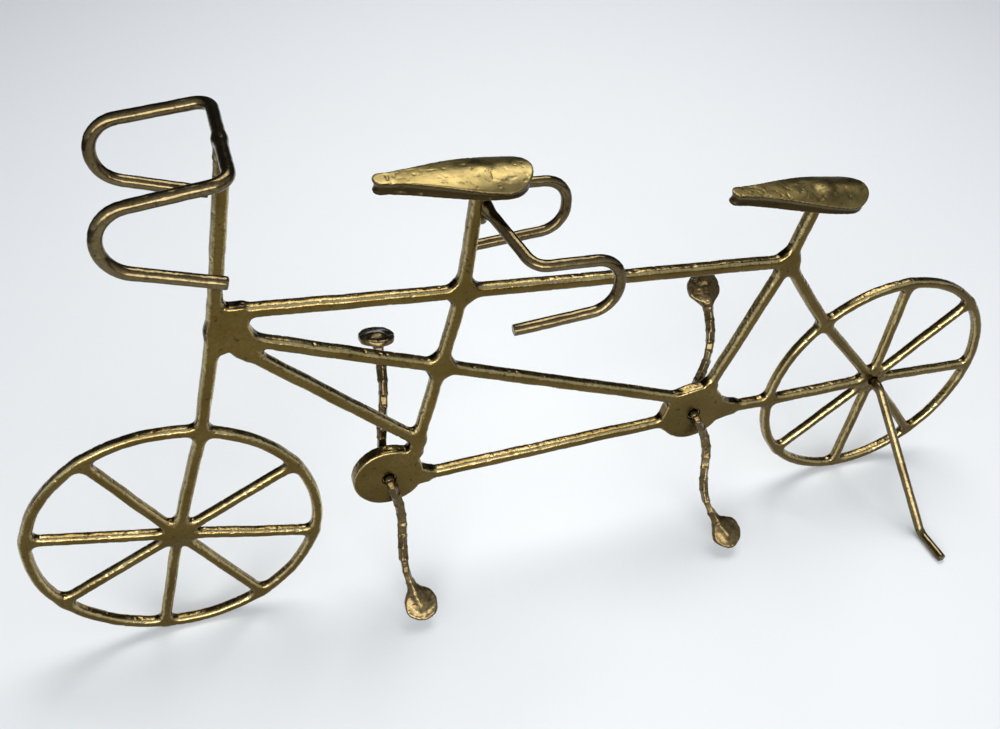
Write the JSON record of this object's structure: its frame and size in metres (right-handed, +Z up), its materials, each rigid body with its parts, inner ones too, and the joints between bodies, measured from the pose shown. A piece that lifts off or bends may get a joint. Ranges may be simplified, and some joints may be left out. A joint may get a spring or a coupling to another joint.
{
  "type": "tandem bicycle ornament",
  "caption": "Small cast brass tandem bicycle with wire handlebars, two turning crank sets and a folding wire kickstand.",
  "frame": {"origin": "on the ground, on the bicycle's centre plane, midway between the places where the two wheels stand", "axes": "+X from the front wheel to the rear wheel, +Y to the bicycle's right-hand side, +Z up"},
  "size_m": [0.2516, 0.0599, 0.1327],
  "materials": {
    "cast_brass": "aged, half polished",
    "wire_brass": "aged, polished on the outside of its bends",
    "saddle_brass": "aged, worn bright on top, pitted",
    "crank_brass": "aged, hammered"
  },
  "bodies": {
    "frame": {"front_rim": "cast_brass", "front_spokes": "cast_brass", "front_hub": "cast_brass", "fork": "cast_brass", "steerer": "cast_brass", "head_plate": "cast_brass", "top_tube_front": "cast_brass", "top_tube_rear": "cast_brass", "cross_tube_front": "cast_brass", "cross_tube_rear": "cast_brass", "down_tube": "cast_brass", "boom_tube": "cast_brass", "front_seat_tube_lower": "cast_brass", "front_seat_tube_upper": "cast_brass", "front_seat_post": "cast_brass", "rear_seat_tube": "cast_brass", "rear_seat_post": "cast_brass", "seat_stay": "cast_brass", "chain_stay": "cast_brass", "front_seat_lug": "cast_brass", "middle_lug": "cast_brass", "rear_seat_lug": "cast_brass", "front_bracket_plate": "cast_brass", "rear_bracket_plate": "cast_brass", "rear_rim": "cast_brass", "rear_spokes": "cast_brass", "rear_hub": "cast_brass", "front_handlebar": "wire_brass", "rear_handlebar": "wire_brass", "front_saddle": "saddle_brass", "rear_saddle": "saddle_brass"},
    "front_crank": {"front_spindle": "crank_brass", "front_left_crank": "crank_brass", "front_right_crank": "crank_brass"},
    "rear_crank": {"rear_spindle": "crank_brass", "rear_left_crank": "crank_brass", "rear_right_crank": "crank_brass"},
    "stand": {"kickstand": "wire_brass"}
  },
  "joints": [
    {"name": "front_crank_spin", "type": "hinge", "parent": "frame", "child": "front_crank", "pos_m": [-0.0429, 0, 0.0375], "axis": [0, 1, 0], "continuous": true},
    {"name": "rear_crank_spin", "type": "hinge", "parent": "frame", "child": "rear_crank", "pos_m": [0.0375, 0, 0.0365], "axis": [0, 1, 0], "continuous": true},
    {"name": "kickstand_fold", "type": "hinge", "parent": "frame", "child": "stand", "pos_m": [0.0925, 0, 0.0333], "axis": [0, -1, 0], "range_deg": [0, 100]}
  ]
}
